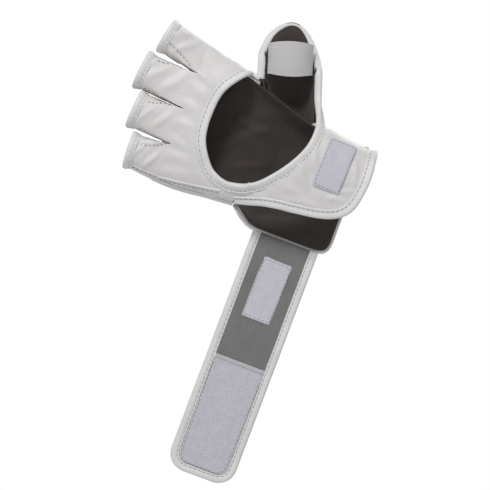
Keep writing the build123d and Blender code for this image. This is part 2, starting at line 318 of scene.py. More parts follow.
def apply_modifiers(obj):
    """Keeps the mesh that the modifiers give, without them."""
    deps = bpy.context.evaluated_depsgraph_get()
    mesh = bpy.data.meshes.new_from_object(obj.evaluated_get(deps))
    old = obj.data
    obj.modifiers.clear()
    obj.data = mesh
    mesh.name = obj.name
    bpy.data.meshes.remove(old)


def shape(obj, body, slot, *nodes):
    """Puts a piece on its body if it has one, and hides the parts it stands for; a piece with no body stays
    unattached.
    """
    if body:
        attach(obj, body)
    if nodes:
        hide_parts(*nodes)
    return obj


# ---- sewn details ---------------------------------------------------------------------------
TAPE_PROFILE = [    # across the binding from the edge inwards, and height over the leather
    (-1.1, 0.0), (-0.9, 0.95), (-0.1, 1.65), (0.9, 1.85), (1.9, 1.55), (2.7, 0.95), (3.5, 0.85),
    (4.1, 0.45), (4.7, 0.8), (5.4, 0.75), (5.9, 0.15),
]


def sweep(mesh, path, normal, profile, under=EDGE_UNDER, wobble=0.0, closed=False, mat=0):
    """A tape along a path: the profile lies over the surface, a flatter copy under it.

    With under=0 the profile is already a whole ring.
    """
    t = tangents(path, closed)
    n = square_to(normal, t)
    side = unit(np.cross(n, t))
    prof = np.array(profile, float)
    across, height = prof[:, 0], np.tile(prof[:, 1], (len(path), 1))
    if np.any(under):
        depth = np.broadcast_to(under, len(path))[:, None] / prof[:, 1].max()
        across = np.concatenate([across, prof[::-1, 0][1:-1]])
        height = np.hstack([height, -prof[::-1, 1][1:-1] * depth])
    s = arc_length(path)
    puckers = np.sin(s * 2 * np.pi / 3.4)
    slow = np.sin(s * 0.61 + 1.0) * np.sin(s * 0.23)
    pulse = 1 + wobble * (0.5 * puckers + 0.5 * slow)
    verts = (path[:, None] + side[:, None] * across[None, :, None]
             + n[:, None] * (height * pulse[:, None])[..., None])
    faces = grid(len(path), len(across), wrap_n=closed, wrap_m=True)
    if not closed:
        m, last = len(across), (len(path) - 1) * len(across)
        faces += [tuple(range(m))[::-1], tuple(range(last, last + m))]
    mesh.add(verts, faces, mat)
    return side, n


CAPSULE_SIDES = 6
CAPSULE_RINGS = [(0.0, 0.25), (0.08, 0.8), (0.25, 1.0), (0.75, 1.0), (0.92, 0.8), (1.0, 0.25)]


def capsules(mesh, starts, ends, radius, mat=0):
    """Thread stitches: short rounded bars between pairs of points."""
    starts, ends = np.asarray(starts, float), np.asarray(ends, float)
    axis = unit(ends - starts)
    helper = np.where(np.abs(axis[:, 1:2]) < 0.9, [[0.0, 1.0, 0.0]], [[1.0, 0.0, 0.0]])
    u = unit(np.cross(axis, helper))
    v = np.cross(axis, u)
    length = np.linalg.norm(ends - starts, axis=1)
    sides, rings = CAPSULE_SIDES, CAPSULE_RINGS
    turn = np.arange(sides) * 2 * np.pi / sides
    circle = np.stack([np.cos(turn), np.sin(turn)], -1)
    block = []
    for along, r in rings:
        block.append(starts[:, None] + axis[:, None] * (length[:, None, None] * along)
                     + (u[:, None] * circle[None, :, :1] + v[:, None] * circle[None, :, 1:]) * radius * r)
    verts = np.stack(block, 1)
    faces = grid(len(rings), sides, wrap_m=True)
    last = (len(rings) - 1) * sides
    faces = faces + [tuple(range(sides))[::-1], tuple(range(last, last + sides))]
    per = len(rings) * sides
    for k in range(len(starts)):
        mesh.verts.append(verts[k].reshape(-1, 3))
        for f in faces:
            mesh.faces.append([i + mesh.count for i in f])
            mesh.mats.append(mat)
        mesh.count += per


def stitches(mesh, path, normal, lift=0.12, length=2.3, gap=1.1, radius=0.26, mat=0, offset=0.0):
    """A row of stitches along a path that lies on a surface."""
    t = tangents(path)
    n = square_to(normal, t)
    side = np.cross(n, t)
    line = path + side * offset + n * lift
    s = arc_length(line)
    count = max(1, int((s[-1] - 1.0) / (length + gap)))
    first = 0.5 + np.arange(count) * (length + gap)
    jitter = RNG.uniform(-0.12, 0.12, count)

    def at(q):
        return np.stack([np.interp(q, s, line[:, k]) for k in range(3)], -1)
    capsules(mesh, at(first + jitter), at(first + length + jitter), radius, mat)


# ---- materials ------------------------------------------------------------------------------
class Look:
    """A material being built, with textures laid out in the object's own coordinates."""

    def __init__(self, name):
        self.mat = bpy.data.materials.new(name)
        self.mat.use_nodes = True
        self.nodes, self.links = self.mat.node_tree.nodes, self.mat.node_tree.links
        self.nodes.clear()
        out = self.nodes.new("ShaderNodeOutputMaterial")
        self.bsdf = self.nodes.new("ShaderNodeBsdfPrincipled")
        self.links.new(self.bsdf.outputs[0], out.inputs[0])
        self.at = self.nodes.new("ShaderNodeTexCoord").outputs["Object"]

    def feed(self, socket, value):
        """Gives a socket a value, or links another socket to it."""
        if isinstance(value, bpy.types.NodeSocket):
            self.links.new(value, socket)
        else:
            socket.default_value = value

    def node(self, kind, **sockets):
        """A new node; names of sockets have _ for a space."""
        node = self.nodes.new("ShaderNode" + kind)
        for key, value in sockets.items():
            if hasattr(node, key) and key not in node.inputs:
                setattr(node, key, value)
            else:
                self.feed(node.inputs[key.replace("_", " ")], value)
        return node

    def noise(self, scale, detail, **sockets):
        return self.node("TexNoise", Vector=self.at, Scale=scale, Detail=detail, **sockets).outputs["Fac"]

    def wave(self, direction, **sockets):
        wave = self.node("TexWave", **sockets)
        wave.bands_direction = direction
        return wave.outputs["Fac"]

    def calculate(self, operation, a, b):
        node = self.node("Math", operation=operation)
        self.feed(node.inputs[0], a)
        self.feed(node.inputs[1], b)
        return node.outputs[0]

    def total(self, *parts):
        """The sum of sockets, each times its share."""
        result = None
        for socket, share in parts:
            if share != 1:
                socket = self.calculate("MULTIPLY", socket, share)
            result = self.calculate("ADD", result, socket) if result else socket
        return result

    def ramp(self, value, stops):
        node = self.node("ValToRGB")
        while len(node.color_ramp.elements) < len(stops):
            node.color_ramp.elements.new(0.5)
        for element, (place, colour) in zip(node.color_ramp.elements, stops):
            element.position = place
            element.color = (*colour, 1)
        self.links.new(value, node.inputs[0])
        return node.outputs[0]

    def bump(self, height, strength, distance, **sockets):
        return self.node("Bump", Height=height, Strength=strength, Distance=distance, **sockets).outputs[0]

    def shade(self, **sockets):
        """Sets the surface shader's own sockets, and gives the material."""
        for key, value in sockets.items():
            self.feed(self.bsdf.inputs[key.replace("_", " ")], value)
        return self.mat


def leather(name, light, dark, grain=0.22, crease=0.35):
    look = Look(name)
    pebble = look.node("TexVoronoi", Vector=look.at, Scale=1300.0).outputs["Distance"]
    fine = look.noise(2600.0, 3.0)
    broad = look.noise(38.0, 5.0, Roughness=0.6)
    crinkle = look.noise(170.0, 6.0, Roughness=0.65, Distortion=1.2)
    gloss = look.node("MapRange", Value=crinkle, To_Min=0.42, To_Max=0.56)
    bump = look.bump(look.total((pebble, 0.6), (fine, 0.35)), grain, 0.00035)
    return look.shade(
        Base_Color=look.ramp(broad, [(0.25, dark), (0.55, light), (0.8, light)]),
        Roughness=gloss.outputs[0], Normal=look.bump(crinkle, crease, 0.0009, Normal=bump),
        Specular_IOR_Level=0.42, Coat_Weight=0.06, Coat_Roughness=0.35,
        Subsurface_Weight=0.04, Subsurface_Radius=(0.0012, 0.0009, 0.0007))


def tape_cloth(name, light, dark, loops=2600.0, depth=0.0005):
    """Hook and loop tape: a dense fuzz with faint rows."""
    look = Look(name)
    fuzz = look.noise(loops, 4.0, Roughness=0.8)
    rows = look.wave("Z", Vector=look.at, Scale=260.0, Distortion=1.5, Detail=2.0)
    patchy = look.noise(220.0, 3.0)
    mixed = look.total((fuzz, 0.7), (patchy, 0.3))
    return look.shade(
        Base_Color=look.ramp(mixed, [(0.32, dark), (0.62, light)]),
        Normal=look.bump(look.total((fuzz, 1), (rows, 0.25)), 0.7, depth),
        Roughness=0.9, Sheen_Weight=0.35, Sheen_Roughness=0.5, Specular_IOR_Level=0.2)


def woven(name, light, dark, scale, turn, rough=0.85, sheen=0.2, second=0.6):
    """Cloth whose yarns run in diagonal or straight rows in the XZ plane."""
    look = Look(name)
    spun = look.node("Mapping", Vector=look.at, Rotation=(0, math.radians(turn), 0)).outputs[0]
    rib = look.wave("X", Vector=spun, Scale=scale, Distortion=0.6, Detail=2.0, Detail_Scale=2.0)
    cross = look.wave("Z", Vector=look.at, Scale=scale * 1.3, Distortion=0.3)
    haze, lint = look.noise(60.0, 4.0), look.noise(2200.0, 2.0)
    mixed = look.total((rib, 0.55), (haze, 0.45), (lint, 0.15))
    return look.shade(
        Base_Color=look.ramp(mixed, [(0.3, dark), (0.85, light)]),
        Normal=look.bump(look.total((rib, 1), (cross, second)), 0.6, 0.0004),
        Roughness=rough, Sheen_Weight=sheen, Sheen_Roughness=0.4, Specular_IOR_Level=0.25)


LEATHER = leather("white_leather", (0.80, 0.78, 0.765), (0.74, 0.72, 0.705))
EDGE = leather("binding_leather", (0.86, 0.85, 0.84), (0.79, 0.775, 0.76), grain=0.16, crease=0.25)
THREAD = woven("thread", (0.62, 0.60, 0.58), (0.42, 0.40, 0.39), 900.0, 30, rough=0.6)
LOOP = tape_cloth("loop_tape", (0.76, 0.755, 0.82), (0.60, 0.595, 0.66))
HOOK = tape_cloth("hook_tape", (0.72, 0.715, 0.775), (0.57, 0.565, 0.625), loops=1500.0, depth=0.0006)
SELVAGE = woven("selvage", (0.80, 0.80, 0.83), (0.66, 0.66, 0.69), 700.0, 0)
TWILL = woven("grey_twill", (0.33, 0.325, 0.32), (0.17, 0.165, 0.16), 330.0, 52, sheen=0.25)
# the inside lining's own grey is darkened here to a deep brown: painted shade of the glove's inside, on
# every inner face that uses this material
LINING_WITH_PAINTED_SHADE = woven("lining_painted_shade", (0.115, 0.095, 0.085), (0.05, 0.042, 0.038), 500.0, 45)
ELASTIC = woven("elastic", (0.80, 0.785, 0.775), (0.66, 0.645, 0.635), 620.0, 72, second=0.2)


# ---- palm leather ---------------------------------------------------------------------------
# soft folds in the leather, as x, z of both ends, width and height
PALM_FOLDS = [
    (-142, 47, -116, 36, 3.4, 1.0), (-141, 36, -117, 26, 3.6, 0.9), (-141, 21, -122, 17, 3.0, 0.9),
    (-142, 8, -119, 4, 3.2, 0.8), (-140, -5, -121, -9, 3.0, 0.9), (-141, -18, -116, -17, 3.4, 0.9),
    (-139, -30, -112, -22, 3.0, 0.7), (-58, -9, -28, -12, 3.4, 0.9), (-54, -18, -18, -16, 2.4, 0.8),
    (-48, 14, -35, -10, 3.4, 1.1), (-42, 33, -35, 4, 2.8, 0.9), (-10, 28, -6, 4, 2.0, 0.8),
    (-14, -3, -3, 7, 1.8, 1.0), (-22, -7, -6, -6, 2.2, 1.0), (-76, -23, -58, -19, 2.4, 0.5),
]


def fold_height(x, z, folds):
    """Height of soft folds, each a ridge with a furrow beside it that fades to its ends."""
    total = np.zeros_like(x)
    for x0, z0, x1, z1, width, height in folds:
        e = np.array([x1 - x0, z1 - z0], float)
        length = np.hypot(*e)
        t = ((x - x0) * e[0] + (z - z0) * e[1]) / length ** 2
        off = ((z - z0) * e[0] - (x - x0) * e[1]) / length
        off = off + 1.6 * np.sin(t * 3.0 + x0)
        along = np.clip(1 - (2 * t - 1) ** 2, 0, 1) ** 1.5
        ridge = np.exp(-(off / width) ** 2) - 0.55 * np.exp(-((off - width * 1.5) / width) ** 2)
        total += height * along * ridge
    return total


def waves(x, z, scale, seed):
    """Smooth random unevenness, between about -1 and 1."""
    local = np.random.default_rng(seed)
    total = np.zeros_like(x)
    for _ in range(7):
        kx, kz = local.normal(0, 1 / scale, 2)
        total += np.sin(kx * x + kz * z + local.uniform(0, 6.28)) / 3.0
    return total


def surface(xs, angles, proud=None):
    """Grid on the envelope, moved out along its normals by proud(x, z)."""
    gx, ga = lattice(xs, angles)
    p = skin(gx, ga)
    du = np.gradient(p, axis=0)
    dv = np.gradient(p, axis=1)
    n = unit(np.cross(dv, du))
    centre = row(gx)[0]
    outward = np.stack([np.zeros_like(gx), p[..., 1], p[..., 2] - centre], -1)
    n *= np.sign((n * outward).sum(-1, keepdims=True))
    if proud is not None:
        p = p + n * proud(p[..., 0], p[..., 2])[..., None]
    return p, n


hole_line = smooth_path(HOLE, 1.2, closed=True)[:-1]
flap_line = smooth_path(FLAP_EDGE, 1.2)
back_line = smooth_path(BACK_EDGE, 1.2)


def palm_proud(x, z):
    """How far the palm leather stands off the envelope: folds, unevenness, and a puff round the hole."""
    near_hole = signed_distance(np.stack([x.ravel(), z.ravel()], -1), hole_line).reshape(x.shape)
    puff = 0.5 * np.exp(-((near_hole - 9) / 5) ** 2)
    uneven = 0.16 * waves(x, z, 7.0, 3)
    return fold_height(x, z, PALM_FOLDS) + uneven + 0.1 * waves(x, z, 3.0, 9) + puff


FAR_TOP = 120.0
FAR_CORNERS = [(-200.0, FAR_TOP), (-200.0, -90.0), (-78.0, -90.0)]


def behind_edge(verts, line, inset):
    """Above 0 where a point lies on the leather side of an edge and at least inset from it."""
    outline = np.vstack([line, [(line[-1, 0], FAR_TOP)] + FAR_CORNERS])
    return -signed_distance(verts[:, [0, 2]], outline) - inset


def palm_leather():
    p, _ = surface(np.linspace(WEB_X, 4.0, 112), np.linspace(91, 250, 110), palm_proud)
    verts, faces = sheet_of(p)
    verts, faces = clip(verts, faces, signed_distance(verts[:, [0, 2]], hole_line) - EDGE_INSET)
    verts, faces = clip(verts, faces, behind_edge(verts, flap_line, EDGE_INSET))
    obj = Mesh().add(verts, faces).make("palm_leather", [LEATHER, LINING_WITH_PAINTED_SHADE])
    solidify(obj, PALM_THICK)
    shape(obj, "hand", "leather", "palm_panel", "cuff_palm_flap")


def side_panel():
    columns, tucked = 16, 3.0
    p, _ = surface(np.linspace(WEB_X, -76.0, 60), np.linspace(250.6, 272, columns),
                   lambda x, z: 0.25 + 0.12 * waves(x, z, 6.0, 4))
    p[..., 1] += 0.5 * (1 - np.minimum(np.arange(columns) / tucked, 1.0))
    verts, faces = sheet_of(p)
    verts, faces = clip(verts, faces, behind_edge(verts, flap_line, EDGE_INSET))
    obj = Mesh().add(verts, faces).make("side_panel", [LEATHER, LINING_WITH_PAINTED_SHADE])
    solidify(obj, PANEL_THICK)
    shape(obj, "hand", "leather", "ulnar_side_panel")


# ---- the back -------------------------------------------------------------------------------
def pad_deep(x):
    return np.interp(x, PAD_X, PAD_DEEP)


def closed_pad(top, under):
    """A pad between two grids of points, with walls round its four sides."""
    mesh = Mesh().sheet(top).sheet(under)
    for side in (np.s_[:, 0], np.s_[:, -1], np.s_[0], np.s_[-1]):
        mesh.sheet(np.stack([top[side], under[side]]))
    return mesh


PAD_COLUMNS = 110
PAD_UNEVEN = 0.25
MM_PER_DEGREE = 0.62    # along the envelope, round about


def pillow(x_range, bulge, edge, rows, seed):
    """A padded field: a crowned top that rounds down to its sewn edges, and a flat underside."""
    xs, angles = np.linspace(*x_range, rows), np.linspace(-90.0, 90.0, PAD_COLUMNS)
    gx, ga = lattice(xs, angles)
    top, n = surface(xs, angles)
    depth = pad_deep(gx) - 0.2
    under = skin(gx, ga, np.minimum(depth, 3.0), depth)
    width = np.minimum(gx - x_range[0], x_range[1] - gx)
    across = np.minimum(np.abs(ga + 90.0), np.abs(90.0 - ga)) * MM_PER_DEGREE
    e = np.clip(np.minimum(width, across * 1.4) / edge, 0, 1)
    rise = np.sqrt(np.clip(1 - (1 - e) ** 2, 0, 1))
    crown = np.clip(width / (0.5 * (x_range[1] - x_range[0])), 0, 1)
    crown = np.clip(1 - (1 - crown) ** 2, 0, 1) * np.clip(across / 18, 0, 1)
    top = under + (top - under) * (0.28 + 0.72 * rise)[..., None]
    top += n * (bulge * crown + PAD_UNEVEN * e * waves(gx, ga * 0.6, 6.0, seed))[..., None]
    return closed_pad(top, under)


SWELL_PRESSURE, SWELL_FRAMES = 4.0, 20


def inflate(obj, pinned, cap):
    """Cloth simulation of a pad under pressure, held at its seams, capped in how far it swells."""
    rest = np.empty(len(obj.data.vertices) * 3)
    obj.data.vertices.foreach_get("co", rest)
    rest = rest.reshape(-1, 3)
    group = obj.vertex_groups.new(name="seam")
    group.add([int(i) for i in np.nonzero(pinned(rest / MM))[0]], 1.0, "REPLACE")
    mod = obj.modifiers.new("swell", "CLOTH")
    cloth = mod.settings
    cloth.quality, cloth.mass = 4, 0.25
    cloth.tension_stiffness = cloth.compression_stiffness = 22
    cloth.shear_stiffness, cloth.bending_stiffness = 8, 0.4
    cloth.use_pressure, cloth.uniform_pressure_force = True, SWELL_PRESSURE
    cloth.effector_weights.gravity = 0
    cloth.vertex_group_mass = "seam"
    mod.collision_settings.use_collision = False
    scene = bpy.context.scene
    mod.point_cache.frame_start, mod.point_cache.frame_end = 1, SWELL_FRAMES
    for frame_number in range(1, SWELL_FRAMES + 1):
        scene.frame_set(frame_number)
    deps = bpy.context.evaluated_depsgraph_get()
    swollen = obj.evaluated_get(deps).to_mesh()
    now = np.empty(len(rest) * 3)
    swollen.vertices.foreach_get("co", now)
    move = now.reshape(-1, 3) - rest
    obj.evaluated_get(deps).to_mesh_clear()
    size = np.linalg.norm(move, axis=1, keepdims=True)
    move *= np.minimum(1, cap * MM / np.maximum(size, 1e-9))
    obj.modifiers.remove(mod)
    scene.frame_set(1)
    obj.data.vertices.foreach_set("co", (rest + move).ravel())
    obj.vertex_groups.clear()
    obj.data.update()


GUARD_FOOT_LEVEL = 39.0


def under_guard(verts):
    """Above 0 away from the gap in the thumb side where the guard stands."""
    low = GUARD_FOOT_LEVEL
    gap = np.array([(-91.0, FAR_TOP), (-91.0, low + 12), (-86.0, low + 7), (-80.0, low), (-47.0, low),
                    (-44.0, low + 3), (-44.0, FAR_TOP)])
    return signed_distance(verts[:, [0, 2]], gap)


BACK_FIELDS = {   # span in x, bulge, width of the rounded edge, rows, CAD parts it stands for
    "knuckle_pad": ((-141.5, -112.6), 1.2, 5.0, 36, ["knuckle_cover", "knuckle_foam"]),
    "back_pad": ((-111.2, -63.2), 1.0, 4.5, 50, ["back_cover", "back_foam"]),
    "cuff_back": ((-61.8, -4.0), 0.2, 2.2, 56, ["cuff_back_panel"]),
}
BACK_SWELL, FINGER_SWELL = 1.6, 1.2


def back_side():
    for k, (name, (ends, bulge, edge, rows, nodes)) in enumerate(BACK_FIELDS.items()):
        obj = pillow(ends, bulge, edge, rows, 20 + k).make(name, [LEATHER], weld=True)
        if name != "cuff_back":
            inflate(obj, lambda v, ends=ends: (v[:, 0] < ends[0] + 2) | (v[:, 0] > ends[1] - 2)
                    | (np.abs(v[:, 1]) < 3), BACK_SWELL)
        if name != "knuckle_pad":
            verts = np.array([v.co[:] for v in obj.data.vertices]) / MM
            faces = [list(p.vertices) for p in obj.data.polygons]
            field = np.minimum(behind_edge(verts, back_line, EDGE_INSET), under_guard(verts))
            verts, faces = clip(verts, faces, field)
            bpy.data.objects.remove(obj)
            obj = Mesh().add(verts, faces).make(name, [LEATHER])
        shape(obj, "hand", "leather", *nodes)


LINING_FOLDS = [
    (-112, 30, -70, 20, 3.0, 1.3), (-104, 2, -66, 30, 3.4, 1.2), (-96, -14, -60, 6, 2.8, 1.1),
    (-108, 44, -84, 8, 2.6, 0.9), (-66, -38, -30, -32, 2.4, 1.2), (-52, -30, -14, -36, 2.6, 1.3),
    (-74, -34, -50, -24, 2.2, 1.0),
]


def hand_lining():
    gx, ga = lattice(np.linspace(-141.0, -4.6, 70), np.linspace(-89, 89, 90))
    deep = pad_deep(gx) + 0.1
    p = skin(gx, ga, np.minimum(deep, 3.1), deep)
    rumple = 0.5 * (1 + waves(gx, p[..., 2], 5.0, 31)) + fold_height(gx, p[..., 2], LINING_FOLDS)
    p[..., 1] -= rumple * np.clip(p[..., 1] / 8, 0, 1)
    verts, faces = sheet_of(p)
    verts, faces = clip(verts, faces, behind_edge(verts, back_line, 1.0))
    obj = Mesh().add(verts, faces).make("hand_lining", [LINING_WITH_PAINTED_SHADE, LINING_WITH_PAINTED_SHADE])
    solidify(obj, LINING_THICK)
    shape(obj, "hand", "lining", "hand_lining")


# ---- finger sleeves ---------------------------------------------------------------------------
# soft folds across the palm side of a sleeve, as share along it and sine of the turn at both ends,
# width and height
SLEEVE_FOLDS = {
    "index": [(0.2, 0.6, 0.75, -0.8, 3.0, 1.1), (0.5, 0.8, 0.95, 0.1, 2.2, 0.8)],
    "middle": [(0.1, 0.7, 0.6, -0.8, 3.2, 1.3), (0.45, 0.8, 0.9, -0.5, 2.6, 1.1),
               (0.75, 0.8, 0.98, 0.2, 2.0, 0.6)],
    "ring": [(0.1, 0.7, 0.55, -0.7, 3.0, 1.2), (0.5, 0.7, 0.85, -0.6, 2.4, 1.0)],
    "little": [(0.1, 0.6, 0.55, -0.8, 3.0, 1.2), (0.55, 0.7, 0.92, -0.5, 2.2, 0.9)],
}


def finger_axes(finger):
    """A finger's hinge point, and the directions along it and across it."""
    d = math.radians(finger.splay)
    return (np.array([HINGE_X, HINGE_Y, finger.hinge_z]), np.array([-math.cos(d), 0, math.sin(d)]),
            np.array([math.sin(d), 0, math.cos(d)]))


def reach_to_skin(mid, s, c):
    """How far the hand's skin is at the webs, from a finger's middle, by halving."""
    centre, half, _, palm, back, _ = row(WEB_X)
    low, high = np.zeros_like(s), np.full_like(s, 60.0)
    for _ in range(24):
        r = 0.5 * (low + high)
        y, z = r * c, mid + r * s
        deep = np.where(y < 0, palm, back - 6.0)
        inside = (np.abs(y) / deep) ** ROUNDNESS + (np.abs(z - centre) / half) ** ROUNDNESS < 1
        inside &= y < 11.0
        low, high = np.where(inside, r, low), np.where(inside, high, r)
    return low


RIM_SQUARENESS = 0.92
WALL_GAP = 0.15         # between neighbouring sleeves, to each side
STRAIGHT_SHARE = 0.15   # how much of a sleeve runs straight from the webs to the rim


def sleeve_section(name, u, turn):
    """Points of a sleeve's skin: u from 0 at the webs to 1 at the rim, turn 0 back, 180 palm."""
    finger = FINGERS[name]
    hinge, out, across = finger_axes(finger)
    s, c = sin_cos(turn)
    mid = 0.5 * (finger.web_low + finger.web_high)
    half = 0.5 * (finger.web_high - finger.web_low) - WALL_GAP
    # the section at the webs: the hand's own skin between two flat side walls
    reach = np.minimum(half / np.maximum(np.abs(s), 1e-6), reach_to_skin(mid, s, c))
    start = np.stack([np.full_like(s, WEB_X), reach * c, mid + reach * s], -1)
    # the section at the rim: an oval square to the finger
    oval = ((finger.rim_half * spow(s, RIM_SQUARENESS))[..., None] * across
            + (SLEEVE_DEPTH * spow(c, RIM_SQUARENESS))[..., None] * np.array([0, 1.0, 0]))
    end = hinge + out * finger.length + oval
    ease = (3 * u ** 2 - 2 * u ** 3)[..., None]
    share = np.clip(1.25 * u, 0, 1)[..., None] * 0.5 + ease * 0.5
    share = np.clip(share / (share.max() or 1), 0, 1)   # the furthest point has the rim's section
    straight = start + (end - start) * u[..., None]
    web_middle = np.stack([np.full_like(s, WEB_X), np.zeros_like(s), np.full_like(s, mid)], -1)
    middle = web_middle + (hinge + out * finger.length - web_middle) * u[..., None]
    curved = middle + (start - web_middle) * (1 - share) + oval * share
    return STRAIGHT_SHARE * straight + (1 - STRAIGHT_SHARE) * curved


def skin_rise(p):
    """How the palm's folds and unevenness move points, so that the sleeves carry them on."""
    z = p[..., 2].ravel()
    x = p[..., 0].ravel()
    _, n = palm_frame(np.stack([np.full_like(z, WEB_X), z], -1))
    return (n * palm_proud(x, z)[:, None]).reshape(p.shape)


def sleeve_skin(name, u, turn):
    """Points of the leather as it lies on a sleeve, folds included, and its normals."""
    length = FINGERS[name].length
    du = np.where(u > 0.5, -0.01, 0.01)
    p = sleeve_section(name, u, turn)
    along = (sleeve_section(name, u + du, turn) - p) * np.sign(du)[..., None]
    around = sleeve_section(name, u, turn + 1.5) - sleeve_section(name, u, turn - 1.5)
    n = unit(np.cross(around, along))
    s, c = sin_cos(turn)
    outward = np.stack([0 * s, c, s], -1)
    n = n * np.sign((n * outward).sum(-1, keepdims=True))
    lift = 0.16 * waves(u * length, s * 12, 4.0, len(name) + 5)
    for u0, a0, u1, a1, width, height in SLEEVE_FOLDS[name]:
        t = np.clip((u - u0) / (u1 - u0), -1, 2)
        off = (s - a0 - (a1 - a0) * t) * 9.0 / width
        span = np.clip(1 - (2 * t - 1) ** 2, 0, 1) * np.clip(-3 * c, 0, 1)
        lift = lift + height * span * (np.exp(-off ** 2) - 0.6 * np.exp(-(off - 1.4) ** 2))
    lift = lift * np.clip(u / 0.3, 0, 1) * np.clip((1 - u) / 0.12, 0, 1)
    fade = np.clip(1 - u / 0.5, 0, 1) ** 2 * np.clip(-4 * c, 0, 1)
    return p + n * lift[..., None] + skin_rise(p) * fade[..., None], n


def sleeve(name):
    gu, gt = lattice(np.linspace(0, 1, 40) ** 0.9, np.linspace(0, 360, 96, endpoint=False))
    p, _ = sleeve_skin(name, gu, gt)
    obj = Mesh().sheet(p, wrap_m=True).make(name + "_sleeve_leather", [LEATHER, LINING_WITH_PAINTED_SHADE])
    solidify(obj, PANEL_THICK)
    return shape(obj, None, "leather", name + "_sleeve")


def bend_finger(obj):
    """Bakes the placement of a piece between the hand and a finger into its mesh, without bending it."""
    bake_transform(obj)


RIM_PROFILE = [
    (-1.4, 0.0), (-1.3, 0.9), (-0.7, 1.5), (0.3, 1.7), (1.2, 1.55), (2.0, 1.05), (2.6, 0.85),
    (3.1, 0.45), (3.6, 0.75), (4.2, 0.7), (4.6, 0.1),
]


def rim(name):
    _, out, _ = finger_axes(FINGERS[name])
    turn = np.linspace(0, 360, 90, endpoint=False)
    path = sleeve_section(name, np.ones_like(turn), turn)
    normal = unit(path - path.mean(axis=0))
    if (np.cross(normal, tangents(path, closed=True)) @ -out).mean() <= 0:
        path, normal = path[::-1], normal[::-1]
    path = path + out * -1.2
    mesh = Mesh()
    sweep(mesh, path, normal, RIM_PROFILE, under=1.5, wobble=0.05, closed=True)
    line = path - out * 3.1
    stitches(mesh, np.vstack([line, line[:1]]), np.vstack([normal, normal[:1]]), lift=0.55, length=1.9,
             gap=1.0, radius=0.24, mat=1)
    shape(mesh.make(name + "_rim_roll", [EDGE, THREAD]), name, "binding", name + "_rim")


PAD_HEIGHT = 23.2
PAD_TURN = 80.0


def finger_pad(name, seed):
    """The padded top of a finger, crowned and rounded down to the sleeve at its edges."""
    finger = FINGERS[name]
    hinge, out, across = finger_axes(finger)
    along = np.linspace(3.0, finger.length - 4.6, 26)
    ga, gt = lattice(along, np.linspace(-PAD_TURN, PAD_TURN, 34))
    s, c = sin_cos(gt)
    half = finger.base_half + (finger.rim_half - finger.base_half) * ga / finger.length
    edge = np.clip(np.minimum(ga - along[0], along[-1] - ga) / 4.0, 0, 1)
    edge = np.minimum(edge, np.clip((PAD_TURN - np.abs(gt)) / 16, 0, 1))
    rise = np.sqrt(1 - (1 - edge) ** 2)
    taper = 1 - 0.16 * (ga / finger.length) ** 2
    y = ((PAD_HEIGHT * taper) * rise + (SLEEVE_DEPTH + 0.6) * (1 - rise)) * spow(c, 0.62)
    v = (half + 0.3 - 1.4 * (1 - rise)) * spow(s, 0.85)
    lift = 0.35 * waves(ga, gt * 0.25, 4.0, seed) * edge
    top = hinge + out * ga[..., None] + across * v[..., None]
    top[..., 1] = HINGE_Y + y + lift
    under = hinge + out * ga[..., None] + across * (v * 0.96)[..., None]
    under[..., 1] = HINGE_Y + (SLEEVE_DEPTH - 2.0) * spow(c, 0.9)
    obj = closed_pad(top, under).make(name + "_pad", [LEATHER], weld=True)
    seam_y = HINGE_Y + SLEEVE_DEPTH + 1.5
    inflate(obj, lambda q: q[:, 1] < seam_y, FINGER_SWELL)
    return shape(obj, None, "leather", name + "_pad_cover", name + "_pad_foam")


# seams of each sleeve's side gusset: share along the sleeve and turn at both ends, stitch length, radius
GUSSETS = {
    "index": [(0.16, 222, 0.84, 190, 2.0, 0.27)],
    "middle": [(0.1, 228, 0.86, 236, 2.0, 0.27), (0.2, 122, 0.86, 132, 2.0, 0.25)],
    "ring": [(0.12, 124, 0.84, 142, 1.7, 0.33), (0.1, 230, 0.86, 236, 2.0, 0.25)],
    "little": [(0.1, 128, 0.84, 150, 1.7, 0.33), (0.05, 238, 0.84, 232, 2.0, 0.25)],
}


GUSSET_RIDGE = [(-0.8, -0.3), (-0.4, 0.25), (0.0, 0.4), (0.4, 0.25), (0.8, -0.3)]


def fingers():
    for k, name in enumerate(FINGERS):
        leather_tube = sleeve(name)
        seams = Mesh()
        for u0, turn0, u1, turn1, length, radius in GUSSETS[name]:
            u = np.linspace(u0, u1, 40)
            line, normal = sleeve_skin(name, u, np.linspace(turn0, turn1, 40))
            sweep(seams, line, normal, GUSSET_RIDGE, under=1.0, wobble=0.1, mat=1)
            stitches(seams, line, normal, lift=0.15, length=length, gap=1.2, radius=radius, offset=1.4)
        thread = seams.make(name + "_gusset_seam", [THREAD, LEATHER])
        shape(thread, None, "binding")
        bend_finger(thread)
        bend_finger(leather_tube)
        rim(name)
        bend_finger(finger_pad(name, 40 + k))


# ---- bound edges of the palm and the back -----------------------------------------------------
def envelope_frame(line, centre, half, reach, base=0.0):
    """Points on one side of the envelope under a line in x and z, and the normals there."""
    r = np.clip((line[:, 1] - centre) / half, -0.999, 0.999)
    depth = (1 - np.abs(r) ** ROUNDNESS) ** (1 / ROUNDNESS)
    n = unit(np.stack([0 * r, depth ** (ROUNDNESS - 1) / reach,
                       np.sign(r) * np.abs(r) ** (ROUNDNESS - 1) / half], -1))
    return np.stack([line[:, 0], base + reach * depth, centre + r * half], -1), n


def palm_frame(line):
    centre, half, _, palm, _, _ = row(line[:, 0])
    return envelope_frame(line, centre, half, -palm)


def back_frame(line):
    centre, half, low, _, back, low_y = row(line[:, 0])
    below = line[:, 1] < centre
    base = np.where(below, low_y, 0.0)
    return envelope_frame(line, centre, np.where(below, low, half), back - base, base)


def palm_top(line):
    """The palm leather as it lies, folds included."""
    path, n = palm_frame(line)
    return path + n * palm_proud(line[:, 0], line[:, 1])[:, None], n


TAPE_STITCH_IN, TAPE_STITCH_UP = 4.0, 0.55


